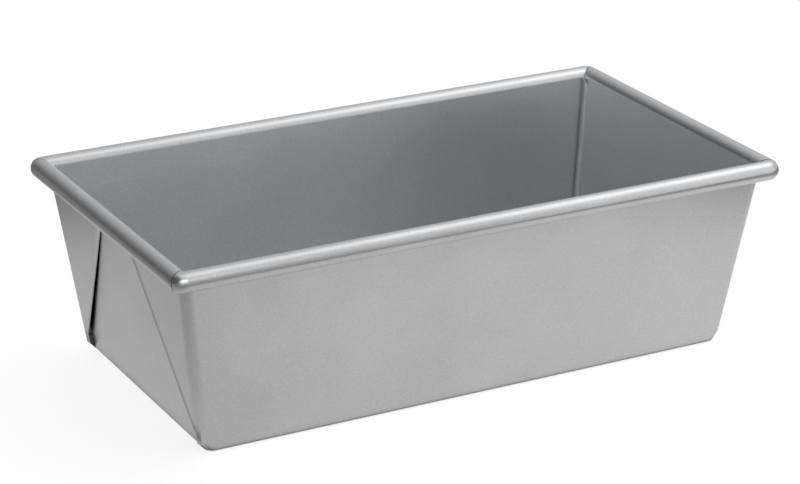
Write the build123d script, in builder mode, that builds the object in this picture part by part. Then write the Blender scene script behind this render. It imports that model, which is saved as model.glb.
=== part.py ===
from build123d import *
import os
from math import asin, atan2, cos, hypot, sin, tan

# A folded loaf pan: one sheet-steel blank, folded up at the walls and pleated at the
# corners, with its top edge curled over a steel wire. Millimetres, +Z up, +X along the
# length. The origin is the centre of the underside.

# Overall sizes, outside to outside
RIM_LENGTH = 229.0
RIM_WIDTH = 127.8
HEIGHT = 69.6
BASE_LENGTH = 196.7  # between the end walls' outer faces, at the underside
BASE_WIDTH = 98.3  # between the side walls' outer faces, at the underside

# Sheet and wire
SHEET = 0.6
WIRE_DIAMETER = 5.6
WIRE_CLEARANCE = 0.03
FLOOR_BEND = 1.4  # outer radius where the floor turns up into the walls
CORNER_BEND = 3.6  # outer radius where a side wall turns into its pleats
FOOT_CORNER = 4.8  # outer radius of the upright corners at the underside
FOOT_HEIGHT = 3.5  # height by which they have drawn in to the corner bend
FLOOR_CORNER = 2.8  # inner radius of the upright corners, low down
RIM_CORNER = 1.4  # radius of the rim's centre line at a corner

# Pleats: the spare sheet of each corner, folded double and laid on the end wall
PLEAT_FOOT = 51.3  # fold line's distance from the centre line, carried down to the underside
PLEAT_HEAD = 9.5  # the same, at the height of the rim's centre line
PLEAT_TOP = 62.4  # the pleats stop just under the curl
LEFT_GAPS = (1.4, 0.2)  # between the -X end wall and its pleats, at the underside and at their top
RIGHT_GAPS = (1.2, 0.95)  # the same at the +X end, where they spring further off
LEFT_FOOT = 0.2  # how far the corners stand beyond the -X end wall at the underside
RIGHT_FOOT = 1.5  # the same at the +X end
LAYER_GAP = 0.1  # between the pleat's two layers
FOLD_ROUND = 1.1  # rounding of the pleat's folded edge
TOE_WIDTH = 2.2  # width of the pleat's foot, which comes down to the floor bend
HEM_START = 6.5  # height where the hem begins to part from the side wall
HEM_INSET = 0.05  # the parting starts this far inside the tray, and so runs out into its walls
HEM_OPEN = 9.5  # height where it is fully parted, and the two layers with it
GAP_START = 1.6  # height where the pleat begins to stand off the wall
GAP_TOE = 0.25  # the gap's width at that height
GAP_TOE_REACH = 2.4  # how near its end's centre comes to the side wall's face at that height
COLUMN_WIDTH = 4.6  # width of the corner that carries on up into the curl

# Slots in the rim
CURL_SLIT = 0.3  # between the curl's free edge and the wall
SEAM_GAP = 0.35  # between the end curl and the side curl, at a corner
SEAM_ANGLE = 30.0  # direction of the seam, from the length
WIRE_BUTT = 0.3  # between the two ends of the wire

# Clearances for the cutting solids
CUT_OVERLAP = 5.0

wire_radius = WIRE_DIAMETER / 2
channel_radius = wire_radius + WIRE_CLEARANCE
bead_radius = channel_radius + SHEET
rim_z = HEIGHT - bead_radius
rim_x = RIM_LENGTH / 2 - bead_radius
rim_y = RIM_WIDTH / 2 - bead_radius


def draft(base, rim):
    """Slope of a wall whose outer face starts at base and touches the wire's channel."""
    run = rim - base
    return atan2(run, rim_z) - asin(channel_radius / hypot(run, rim_z))


end_draft = draft(BASE_LENGTH / 2, rim_x)
side_draft = draft(BASE_WIDTH / 2, rim_y)
fold_slope = (PLEAT_FOOT - PLEAT_HEAD) / rim_z
toe_height = (PLEAT_FOOT + TOE_WIDTH - BASE_WIDTH / 2) / (tan(side_draft) + fold_slope)
wall_top = rim_z + bead_radius * sin((end_draft + side_draft) / 2)
end_sheet = SHEET / cos(end_draft)  # sheet measured level, across an end wall
side_sheet = SHEET / cos(side_draft)
pleat_sheets = 2 * end_sheet + LAYER_GAP


def wall_x(z):
    """Outer face of an end wall at height z."""
    return BASE_LENGTH / 2 + z * tan(end_draft)


def wall_y(z):
    """Outer face of a side wall at height z."""
    return BASE_WIDTH / 2 + z * tan(side_draft)


def fold_y(z):
    """Folded edge of a pleat at height z."""
    return PLEAT_FOOT - fold_slope * z


def pleat_gap(z, end):
    """Space at height z between the end wall at -X or +X and its pleats."""
    foot, head = LEFT_GAPS if end < 0 else RIGHT_GAPS
    return foot + (head - foot) * z / PLEAT_TOP


def tray_section(z, beyond_end, beyond_side, radius):
    """Rounded rectangle level with z, standing beyond the walls' outer faces."""
    with BuildSketch(Plane.XY.offset(z)) as section:
        RectangleRounded(2 * (wall_x(z) + beyond_end), 2 * (wall_y(z) + beyond_side), radius)
    return section.sketch


def uneven_section(z, beyond_left, beyond_right, beyond_side, radius):
    """The same, standing further beyond one end wall than beyond the other."""
    left = wall_x(z) + beyond_left
    right = wall_x(z) + beyond_right
    with BuildSketch(Plane.XY.offset(z)) as section:
        with Locations(((right - left) / 2, 0)):
            RectangleRounded(left + right, 2 * (wall_y(z) + beyond_side), radius)
    return section.sketch


def pleat_section(z, beyond_gaps, beyond_side, radius):
    """The same, measured from the far sides of the gaps behind the pleats."""
    left = pleat_gap(z, -1) + beyond_gaps
    return uneven_section(z, left, pleat_gap(z, 1) + beyond_gaps, beyond_side, radius)


def end_section(z, near, far, half_width, ends):
    """Strip at height z on both end walls, from near to far outside them."""
    with BuildSketch(Plane.XY.offset(z)) as section:
        with Locations((ends * (wall_x(z) + (near + far) / 2), 0)):
            Rectangle(far - near, 2 * half_width)
    return section.sketch


def slot_section(z, near, far, end, reach=CORNER_BEND):
    """The same strip with round ends, whose centres lie reach inside the side walls' faces."""
    with BuildSketch(Plane.XY.offset(z)) as section:
        with Locations((end * (wall_x(z) + (near + far) / 2), 0)):
            SlotCenterToCenter(2 * (wall_y(z) - reach), far - near, rotation=90)
    return section.sketch


def side_section(z, near, far, half_length, side):
    """Strip at height z on a side wall, from near to far outside it."""
    with BuildSketch(Plane.XY.offset(z)) as section:
        with Locations((0, side * (wall_y(z) + (near + far) / 2))):
            Rectangle(2 * half_length, far - near)
    return section.sketch


def rim_corner_profile(radius):
    """Upright section of the rim at a corner, from the bend's axis outwards."""
    with BuildSketch(Plane.XZ) as profile:
        with Locations((RIM_CORNER, 0)):
            Circle(radius)
        with Locations((-radius, 0)):
            Rectangle(2 * radius, 2 * radius + CUT_OVERLAP, mode=Mode.SUBTRACT)
    return profile.sketch


def rim_ring(radius):
    """Round bar of the given radius along the rim's centre line."""
    with BuildPart() as corner:
        revolve(rim_corner_profile(radius), axis=Axis.Z, revolution_arc=90)
    with BuildPart() as ring:
        with Locations((0, rim_y, rim_z), (0, -rim_y, rim_z)):
            Cylinder(radius, 2 * (rim_x - RIM_CORNER), rotation=(0, 90, 0))
        with Locations((rim_x, 0, rim_z), (-rim_x, 0, rim_z)):
            Cylinder(radius, 2 * (rim_y - RIM_CORNER), rotation=(90, 0, 0))
        for turn, along, across in ((0, 1, 1), (90, -1, 1), (180, -1, -1), (270, 1, -1)):
            place = (along * (rim_x - RIM_CORNER), across * (rim_y - RIM_CORNER), rim_z)
            with Locations(Location(place, (0, 0, turn))):
                add(corner.part)
    return ring.part


# Everything from one end wall's outer face to the other's
with BuildPart() as between_ends:
    heights = (0, HEIGHT + CUT_OVERLAP)
    loft([tray_section(z, 0, CUT_OVERLAP, CORNER_BEND) for z in heights], ruled=True)
    fillet(between_ends.edges().group_by(Axis.Z)[0], FLOOR_BEND)

# The space outside the end walls: between the fold lines, and over each pleat's top,
# where the curl comes down
with BuildPart() as bay:
    with BuildSketch(Plane.YZ):
        with BuildLine():
            column_y = wall_y(PLEAT_TOP) - COLUMN_WIDTH
            Polyline(
                (0, -CUT_OVERLAP),
                (wall_y(-CUT_OVERLAP) - TOE_WIDTH, -CUT_OVERLAP),
                (wall_y(toe_height) - TOE_WIDTH, toe_height),
                (fold_y(PLEAT_TOP), PLEAT_TOP),
                (column_y, PLEAT_TOP),
                (column_y, HEIGHT),
                (0, HEIGHT),
                close=True,
            )
        make_face()
        mirror(about=Plane.YZ)
    extrude(amount=RIM_LENGTH, both=True)
    add(between_ends.part, mode=Mode.SUBTRACT)

# The inside of the tray: flat floor, four sloping walls
with BuildPart() as cavity:
    heights = (SHEET, HEIGHT + CUT_OVERLAP)
    loft([tray_section(z, -end_sheet, -side_sheet, FLOOR_CORNER) for z in heights], ruled=True)
    fillet(cavity.edges().group_by(Axis.Z)[0], FLOOR_BEND - SHEET)

# The narrow way between each end wall's hem and the side wall, which runs on between
# the pleat's two layers as far as the fold
with BuildPart() as hem_clearance:
    inner_bend = CORNER_BEND - SHEET
    start = tray_section(HEM_START, -end_sheet - HEM_INSET, -side_sheet - HEM_INSET, FLOOR_CORNER)
    opened = [
        pleat_section(z, pleat_sheets - end_sheet, -side_sheet, inner_bend)
        for z in (HEM_OPEN, HEIGHT + CUT_OVERLAP)
    ]
    loft([start, *opened], ruled=True)
    for end in (-1, 1):
        hems = [
            slot_section(z, -end_sheet, pleat_gap(z, end) + end_sheet, end)
            for z in (HEM_START, HEIGHT + CUT_OVERLAP)
        ]
        loft(hems, ruled=True, mode=Mode.SUBTRACT)
        folds = [
            end_section(z, pleat_gap(z, end), CUT_OVERLAP, fold_y(z) + FOLD_ROUND, end)
            for z in (HEM_START, PLEAT_TOP)
        ]
        loft(folds, ruled=True, mode=Mode.SUBTRACT)


def seam_cut(along, across):
    """Thin upright slab through the rim at one corner, from the inner corner outwards."""
    inner = (along * (rim_x - bead_radius), across * (rim_y - bead_radius), rim_z)
    turn = SEAM_ANGLE * along * across + (0 if along > 0 else 180)
    reach = 4 * bead_radius
    with BuildPart() as seam:
        with Locations(Location(inner, (0, 0, turn))):
            Box(reach, SEAM_GAP, 2 * bead_radius, align=(Align.MIN, Align.CENTER, Align.CENTER))
    return seam.part


# The pan: floor, walls, corner pleats and the curled rim, all one sheet
with BuildPart() as pan_body:
    above_foot = [pleat_section(z, pleat_sheets, 0, CORNER_BEND) for z in (FOOT_HEIGHT, wall_top)]
    foot = uneven_section(0, LEFT_FOOT, RIGHT_FOOT, 0, FOOT_CORNER)
    loft([foot, *above_foot], ruled=True)
    fillet(pan_body.edges().group_by(Axis.Z)[0], FLOOR_BEND)
    add(bay.part, mode=Mode.SUBTRACT)
    fold_middle = (toe_height + PLEAT_TOP) / 2
    folds = pan_body.edges().filter_by(
        lambda edge: abs(edge.center().X) > wall_x(fold_middle) + FOLD_ROUND
        and abs(abs(edge.center().Y) - fold_y(fold_middle)) < FOLD_ROUND
    )
    fillet(folds, FOLD_ROUND)
    add(cavity.part, mode=Mode.SUBTRACT)
    add(hem_clearance.part, mode=Mode.SUBTRACT)
    for end in (-1, 1):
        toe_gap = slot_section(GAP_START, 0, GAP_TOE, end, GAP_TOE_REACH)
        gaps = [slot_section(z, 0, pleat_gap(z, end), end) for z in (FOOT_HEIGHT, PLEAT_TOP)]
        loft([toe_gap, *gaps], ruled=True, mode=Mode.SUBTRACT)

    # Curl over the wire, slit where its free edge lies along each wall
    add(rim_ring(bead_radius))
    add(rim_ring(channel_radius), mode=Mode.SUBTRACT)
    slit = (rim_z - bead_radius - CURL_SLIT, rim_z - CURL_SLIT)
    for side in (-1, 1):
        end_slits = [end_section(z, 0, CURL_SLIT, column_y, side) for z in slit]
        loft(end_slits, ruled=True, mode=Mode.SUBTRACT)
        side_slits = [side_section(z, 0, CURL_SLIT, wall_x(PLEAT_TOP), side) for z in slit]
        loft(side_slits, ruled=True, mode=Mode.SUBTRACT)
    for along in (-1, 1):
        for across in (-1, 1):
            add(seam_cut(along, across), mode=Mode.SUBTRACT)

# The wire in the curl: one rod, its ends butted at the middle of a long side
with BuildPart() as rim_wire:
    add(rim_ring(wire_radius))
    with Locations((0, rim_y, rim_z)):
        Box(WIRE_BUTT, 2 * WIRE_DIAMETER, 2 * WIRE_DIAMETER, mode=Mode.SUBTRACT)

pan_body.part.label = "pan_body"
rim_wire.part.label = "rim_wire"

os.makedirs("parts", exist_ok=True)
export_step(pan_body.part, "parts/pan_body.step")
export_step(rim_wire.part, "parts/rim_wire.step")
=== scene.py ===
from math import cos, pi, radians, sin

import bpy
from mathutils import Euler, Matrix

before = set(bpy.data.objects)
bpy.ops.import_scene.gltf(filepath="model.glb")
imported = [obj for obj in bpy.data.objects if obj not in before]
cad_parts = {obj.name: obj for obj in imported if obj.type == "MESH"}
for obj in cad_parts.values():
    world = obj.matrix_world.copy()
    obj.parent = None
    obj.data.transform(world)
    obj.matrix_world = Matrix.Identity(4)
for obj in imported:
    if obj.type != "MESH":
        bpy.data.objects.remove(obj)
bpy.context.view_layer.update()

scene = bpy.context.scene

# ---------------------------------------------------------------- camera
# Seen from the front left and above, with a long lens. The place is in metres, the
# angles are in degrees, and the lens and sensor are in millimetres.
CAMERA_PLACE = (-0.43086, -0.81058, 0.39694)
CAMERA_TILT = 21.31
CAMERA_TURN = -27.90
CAMERA_LENS = 126.88
SENSOR_WIDTH = 36.0
CLIP_START = 0.01
CLIP_END = 50.0

camera_data = bpy.data.cameras.new("camera")
camera_data.sensor_fit = "HORIZONTAL"
camera_data.sensor_width = SENSOR_WIDTH
camera_data.lens = CAMERA_LENS
camera_data.clip_start = CLIP_START
camera_data.clip_end = CLIP_END
camera = bpy.data.objects.new("camera", camera_data)
camera.location = CAMERA_PLACE
camera.rotation_euler = Euler((radians(90 - CAMERA_TILT), 0, radians(CAMERA_TURN)))
scene.collection.objects.link(camera)
scene.camera = camera
scene.view_settings.view_transform = "Standard"


# ---------------------------------------------------------------- materials
class Formula:
    """Arithmetic in a material's node tree, on numbers and sockets."""

    def __init__(self, tree):
        self.tree = tree

    def node(self, operation, *values):
        node = self.tree.nodes.new("ShaderNodeMath")
        node.operation = operation
        for socket, value in zip(node.inputs, values):
            if isinstance(value, (int, float)):
                socket.default_value = value
            else:
                self.tree.links.new(value, socket)
        return node.outputs["Value"]

    def total(self, *values):
        result = values[0]
        for value in values[1:]:
            result = self.node("ADD", result, value)
        return result

    def times(self, *values):
        result = values[0]
        for value in values[1:]:
            result = self.node("MULTIPLY", result, value)
        return result

    def minus(self, a, b):
        return self.node("SUBTRACT", a, b)

    def least(self, a, b):
        return self.node("MINIMUM", a, b)

    def most(self, a, b):
        return self.node("MAXIMUM", a, b)

    def magnitude(self, value):
        return self.node("ABSOLUTE", value)

    def above(self, value, limit):
        """1 where the value is over the limit, 0 elsewhere."""
        return self.node("GREATER_THAN", value, limit)

    def below(self, value, limit):
        """1 where the value is under the limit, 0 elsewhere."""
        return self.node("LESS_THAN", value, limit)

    def bell(self, value, centre, width):
        """1 at the centre, falling smoothly to nothing some two widths away."""
        offset = self.times(self.minus(value, centre), 1 / width)
        return self.node("EXPONENT", self.times(offset, offset, -1.0))

    def step(self, value, start, end):
        """0 at start and 1 at end, smooth between them and level beyond."""
        node = self.tree.nodes.new("ShaderNodeMapRange")
        node.interpolation_type = "SMOOTHSTEP"
        node.inputs["From Min"].default_value = start
        node.inputs["From Max"].default_value = end
        self.tree.links.new(value, node.inputs["Value"])
        return node.outputs["Result"]


def new_material(name):
    material = bpy.data.materials.new(name)
    material.use_nodes = True
    return material, material.node_tree.nodes["Principled BSDF"]


# The pleats, in metres, as the CAD has them. Each distance is the one at the underside,
# and its slope says how much it changes for each metre of height.
PLEAT_TOP = 0.0624
FOLD_FOOT = 0.0513  # the fold lines, from the centre line
FOLD_SLOPE = 0.6317
WALL_FOOT = 0.09835  # the end walls' outer faces, from the middle
WALL_SLOPE = 0.149
GAP_FOOT = 0.0014  # the gaps between the end walls and the pleats
GAP_SLOPE = 0.0192
TOE_FOOT = 0.04695  # the inner edges of the pleats' feet, from the centre line
GAP_END_FOOT = 0.0478  # the far ends of the gaps, from the centre line
SIDE_SLOPE = 0.128

# Painted shade filling the gaps between the end walls and the pleats, down to the pleats' feet
GAP_MARGIN = 0.0002
GAP_SHADE = 0.85

# A painted shade line on the front pleats, darkening the folds' rounded edges where shade falls,
# at this distance from the fold
FOLD_SHADE_OFFSET = 0.0013
FOLD_SHADE_WIDTH = 0.0020
FOLD_SHADE_DEPTH = 0.50


def pleat_painted_shade(f, x, y, z):
    """Painted shade at the pleats: a darker line along the front folds, and darkness in the gaps
    behind the pleats, where shade falls.
    """
    outside = f.total(f.magnitude(x), f.times(z, -WALL_SLOPE), -WALL_FOOT)
    gap = f.total(GAP_FOOT, f.times(z, -GAP_SLOPE))
    beyond_gap = f.above(outside, gap)

    fold = f.total(FOLD_FOOT, f.times(z, -FOLD_SLOPE))
    # Painted shade: a darker line along the rounded edge of each front fold
    line = f.bell(f.minus(f.times(y, -1.0), fold), FOLD_SHADE_OFFSET, FOLD_SHADE_WIDTH)
    fold_shade = f.times(line, beyond_gap, FOLD_SHADE_DEPTH)

    # Painted shade over the surfaces inside the gap behind each pleat
    across = f.magnitude(y)
    side_run = f.times(z, SIDE_SLOPE)
    pleat_edge = f.least(fold, f.total(TOE_FOOT, side_run))
    behind_edge = f.above(across, f.minus(pleat_edge, GAP_MARGIN))
    inside_corner = f.below(across, f.total(GAP_END_FOOT, side_run))
    off_wall = f.above(outside, -GAP_MARGIN)
    in_gap = f.times(off_wall, f.minus(1.0, beyond_gap), behind_edge, inside_corner)

    painted_darkening = f.total(fold_shade, f.times(in_gap, GAP_SHADE))
    return f.minus(1.0, f.times(f.below(z, PLEAT_TOP), painted_darkening))


# The coating's grain: a fine speckle with a broader cloud in it
SPECKLE_DETAIL = 3.0
SPECKLE_SHARPNESS = 0.6
CLOUD_SCALE = 35.0
CLOUD_DETAIL = 2.0
CLOUD_SHARE = 0.25
DARK_GRAIN = (0.32, 0.87)  # a level of the grain, and the metal's tone at it
PALE_GRAIN = (0.68, 1.10)
SPECKLE_LOW = 0.3
SPECKLE_HIGH = 0.7
SMOOTHER = 0.01
ROUGHER = 0.03
BUMP_STRENGTH = 0.12
BUMP_HEIGHT = 0.00008


def coated_steel(name, tone, roughness, grain):
    """Satin silver-grey metal with a fine speckle."""
    material, shader = new_material(name)
    nodes = material.node_tree.nodes
    links = material.node_tree.links
    place = nodes.new("ShaderNodeTexCoord").outputs["Object"]

    speckle = nodes.new("ShaderNodeTexNoise")
    speckle.inputs["Scale"].default_value = grain
    speckle.inputs["Detail"].default_value = SPECKLE_DETAIL
    speckle.inputs["Roughness"].default_value = SPECKLE_SHARPNESS
    links.new(place, speckle.inputs["Vector"])

    cloud = nodes.new("ShaderNodeTexNoise")
    cloud.inputs["Scale"].default_value = CLOUD_SCALE
    cloud.inputs["Detail"].default_value = CLOUD_DETAIL
    links.new(place, cloud.inputs["Vector"])

    blend = nodes.new("ShaderNodeMix")
    blend.data_type = "FLOAT"
    blend.inputs["Factor"].default_value = CLOUD_SHARE
    links.new(speckle.outputs["Fac"], blend.inputs["A"])
    links.new(cloud.outputs["Fac"], blend.inputs["B"])

    colour = nodes.new("ShaderNodeValToRGB")
    for element, (level, share) in zip(colour.color_ramp.elements, (DARK_GRAIN, PALE_GRAIN)):
        element.position = level
        element.color = (*[channel * share for channel in tone], 1)
    links.new(blend.outputs["Result"], colour.inputs["Fac"])

    # The base colour is darkened by the painted shade at the pleats: a line along the front
    # folds, and the gaps behind the pleats
    split = nodes.new("ShaderNodeSeparateXYZ")
    links.new(place, split.inputs["Vector"])
    shaded = nodes.new("ShaderNodeVectorMath")
    shaded.operation = "SCALE"
    links.new(colour.outputs["Color"], shaded.inputs[0])
    links.new(pleat_painted_shade(Formula(material.node_tree), *split.outputs), shaded.inputs["Scale"])
    links.new(shaded.outputs["Vector"], shader.inputs["Base Color"])

    rough = nodes.new("ShaderNodeMapRange")
    rough.inputs["From Min"].default_value = SPECKLE_LOW
    rough.inputs["From Max"].default_value = SPECKLE_HIGH
    rough.inputs["To Min"].default_value = roughness - SMOOTHER
    rough.inputs["To Max"].default_value = roughness + ROUGHER
    links.new(speckle.outputs["Fac"], rough.inputs["Value"])
    links.new(rough.outputs["Result"], shader.inputs["Roughness"])

    bump = nodes.new("ShaderNodeBump")
    bump.inputs["Strength"].default_value = BUMP_STRENGTH
    bump.inputs["Distance"].default_value = BUMP_HEIGHT
    links.new(speckle.outputs["Fac"], bump.inputs["Height"])
    links.new(bump.outputs["Normal"], shader.inputs["Normal"])

    shader.inputs["Metallic"].default_value = 1.0
    return material


STEEL_TONE = (0.755, 0.757, 0.760)
STEEL_ROUGHNESS = 0.29
STEEL_GRAIN = 2100.0
WIRE_TONE = (0.5, 0.5, 0.5)
WIRE_ROUGHNESS = 0.3
WIRE_GRAIN = 1800.0

steel = coated_steel("coated_steel", STEEL_TONE, STEEL_ROUGHNESS, STEEL_GRAIN)
wire_steel = coated_steel("wire_steel", WIRE_TONE, WIRE_ROUGHNESS, WIRE_GRAIN)
for node, material in (("pan_body", steel), ("rim_wire", wire_steel)):
    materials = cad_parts[node].data.materials
    materials.clear()
    materials.append(material)


# ---------------------------------------------------------------- studio
def sheet_object(name, verts, faces):
    mesh = bpy.data.meshes.new(name)
    mesh.from_pydata(verts, [], faces)
    thing = bpy.data.objects.new(name, mesh)
    scene.collection.objects.link(thing)
    return thing


def level_card(name, left, right, near, far, z):
    corners = [(left, near, z), (right, near, z), (right, far, z), (left, far, z)]
    return sheet_object(name, corners, [(0, 1, 2, 3)])


# The floor is a pale light table: it glows a little, so shadows on it are faint.
FLOOR_HALF = 4.0
FLOOR_Z = -0.0002
FLOOR_TONE = 0.9
FLOOR_ROUGHNESS = 0.9
FLOOR_GLOW = 0.7

floor = level_card("floor", -FLOOR_HALF, FLOOR_HALF, -FLOOR_HALF, FLOOR_HALF, FLOOR_Z)
floor_material, floor_shader = new_material("floor")
floor_shader.inputs["Base Color"].default_value = (FLOOR_TONE, FLOOR_TONE, FLOOR_TONE, 1)
floor_shader.inputs["Roughness"].default_value = FLOOR_ROUGHNESS
floor_shader.inputs["Emission Color"].default_value = (1, 1, 1, 1)
floor_shader.inputs["Emission Strength"].default_value = FLOOR_GLOW
floor.data.materials.append(floor_material)
floor.visible_glossy = False

# What the metal reflects is a room, two cards and a table top that nothing else sees.
# Each glows by a formula of the place on it, in metres, times one level for them all.
LIGHT = 0.73
COOL = (0.97, 0.985, 1.0)
TABLE_TINT = (1.0, 0.984, 0.986)


def glow_in_reflections(thing, colour, strength):
    """Make a sheet glow, and hide it from everything but reflections."""
    material = bpy.data.materials.new(thing.name + "_glow")
    material.use_nodes = True
    material.cycles.emission_sampling = "NONE"
    tree = material.node_tree
    tree.nodes.clear()
    place = tree.nodes.new("ShaderNodeNewGeometry")
    split = tree.nodes.new("ShaderNodeSeparateXYZ")
    tree.links.new(place.outputs["Position"], split.inputs["Vector"])
    glow = tree.nodes.new("ShaderNodeEmission")
    glow.inputs["Color"].default_value = (*colour, 1)
    formula = Formula(tree)
    level = formula.times(strength(formula, *split.outputs), LIGHT)
    tree.links.new(level, glow.inputs["Strength"])
    out = tree.nodes.new("ShaderNodeOutputMaterial")
    tree.links.new(glow.outputs["Emission"], out.inputs["Surface"])
    thing.data.materials.append(material)

    thing.visible_camera = False
    thing.visible_diffuse = False
    thing.visible_shadow = False
    thing.visible_transmission = False


# The room: a wide dome, brighter to the right
ROOM_RADIUS = 5.0
ROOM_RINGS = 24
ROOM_SPOKES = 64
ROOM_TOWARD = (0.85, 0.35, 0.40)
ROOM_LEAST = 0.12
ROOM_MORE = 0.82
ROOM_START = -0.3
ROOM_END = 1.25


def dome_point(ring, spoke):
    rise = ring / ROOM_RINGS * pi / 2
    turn = spoke / ROOM_SPOKES * 2 * pi
    out = ROOM_RADIUS * cos(rise)
    return out * cos(turn), out * sin(turn), ROOM_RADIUS * sin(rise)


def dome_face(ring, spoke):
    low = ring * ROOM_SPOKES
    high = low + ROOM_SPOKES
    after = (spoke + 1) % ROOM_SPOKES
    return low + spoke, low + after, high + after, high + spoke


def room_light(f, x, y, z):
    shares = [f.times(axis, part / ROOM_RADIUS) for axis, part in zip((x, y, z), ROOM_TOWARD)]
    toward = f.step(f.total(*shares), ROOM_START, ROOM_END)
    return f.total(ROOM_LEAST, f.times(toward, ROOM_MORE))


spokes = range(ROOM_SPOKES)
room = sheet_object(
    "room",
    [dome_point(ring, spoke) for ring in range(ROOM_RINGS + 1) for spoke in spokes],
    [dome_face(ring, spoke) for ring in range(ROOM_RINGS) for spoke in spokes],
)
glow_in_reflections(room, COOL, room_light)

# A soft box overhead, brighter to the right and in a band just in front of the middle
OVERHEAD_LEFT = -0.3
OVERHEAD_RIGHT = 0.7
OVERHEAD_HALF = 0.6
OVERHEAD_Z = 0.7
OVERHEAD_MIDDLE = 0.98
OVERHEAD_SLOPE = 1.75
OVERHEAD_LEAST = 0.95
BAND_Y = -0.06
BAND_WIDTH = 0.30
BAND_LIGHT = 0.56
OFF_BAND = 0.60


def overhead_light(f, x, y, z):
    along = f.most(f.total(OVERHEAD_MIDDLE, f.times(x, OVERHEAD_SLOPE)), OVERHEAD_LEAST)
    return f.times(along, f.total(OFF_BAND, f.times(f.bell(y, BAND_Y, BAND_WIDTH), BAND_LIGHT)))


overhead = level_card(
    "overhead", OVERHEAD_LEFT, OVERHEAD_RIGHT, -OVERHEAD_HALF, OVERHEAD_HALF, OVERHEAD_Z
)
glow_in_reflections(overhead, COOL, overhead_light)

# An upright card in front, brighter to the right and upwards, with a window on its left
FRONT_Y = -0.35
FRONT_LEFT = -0.5
FRONT_RIGHT = 0.6
FRONT_HEIGHT = 0.45
FRONT_LEAST = 0.38
FRONT_MOST = 1.05
FRONT_SLOPE = 2.3
FRONT_RISE = 0.35
WINDOW_X = -0.17
WINDOW_Z = 0.29
WINDOW_WIDTH = 0.16
WINDOW_HEIGHT = 0.12
WINDOW_LIGHT = 2.6


def front_light(f, x, y, z):
    rightward = f.total(FRONT_LEAST, f.most(f.times(x, FRONT_SLOPE), 0.0))
    across_window = f.bell(x, WINDOW_X, WINDOW_WIDTH)
    up_window = f.bell(z, WINDOW_Z, WINDOW_HEIGHT)
    window = f.times(across_window, up_window, WINDOW_LIGHT)
    return f.total(f.least(rightward, FRONT_MOST), window, f.times(z, FRONT_RISE))


front = sheet_object(
    "front_card",
    [
        (FRONT_LEFT, FRONT_Y, 0),
        (FRONT_RIGHT, FRONT_Y, 0),
        (FRONT_RIGHT, FRONT_Y, FRONT_HEIGHT),
        (FRONT_LEFT, FRONT_Y, FRONT_HEIGHT),
    ],
    [(0, 1, 2, 3)],
)
glow_in_reflections(front, COOL, front_light)

# The light table's top as the metal sees it: bright round the pan and dark beyond,
# brighter to the right, dimmer at the front left, with a thin shadow round the base
TABLE_Z = -0.0001
TABLE_MIDDLE = 0.808
TABLE_SLOPES = (0.74, -0.2)
DIM_TILT = -0.35
DIM_START = 0.08
DIM_END = 0.2
DIM_DEPTH = 0.2
TABLE_REACH = (0.225, 0.175)
REACH_DARK = 1.25
REACH_BRIGHT = 0.85
TABLE_FAR = 0.3
BASE_HALF = (0.098, 0.049)
SHADOW_START = -0.001
SHADOW_END = 0.003
SHADOW_TONE = 0.35


def table_light(f, x, y, z):
    dimmer = f.step(f.minus(f.times(y, DIM_TILT), x), DIM_START, DIM_END)
    slopes = [f.times(axis, slope) for axis, slope in zip((x, y), TABLE_SLOPES)]
    tone = f.total(TABLE_MIDDLE, *slopes, f.times(dimmer, -DIM_DEPTH))
    shares = [f.times(axis, 1 / reach) for axis, reach in zip((x, y), TABLE_REACH)]
    distance = f.node("SQRT", f.total(*[f.times(share, share) for share in shares]))
    near = f.step(distance, REACH_DARK, REACH_BRIGHT)
    level = f.total(TABLE_FAR, f.times(f.minus(tone, TABLE_FAR), near))
    beside = f.most(*[f.minus(f.magnitude(axis), half) for axis, half in zip((x, y), BASE_HALF)])
    unshaded = f.step(beside, SHADOW_START, SHADOW_END)
    return f.times(level, f.total(SHADOW_TONE, f.times(unshaded, 1 - SHADOW_TONE)))


table = level_card("table_card", -FLOOR_HALF, FLOOR_HALF, -FLOOR_HALF, FLOOR_HALF, TABLE_Z)
glow_in_reflections(table, TABLE_TINT, table_light)

WORLD_LIGHT = 0.35
world = bpy.data.worlds.new("studio")
world.use_nodes = True
background = world.node_tree.nodes["Background"]
background.inputs["Color"].default_value = (1, 1, 1, 1)
background.inputs["Strength"].default_value = WORLD_LIGHT
scene.world = world
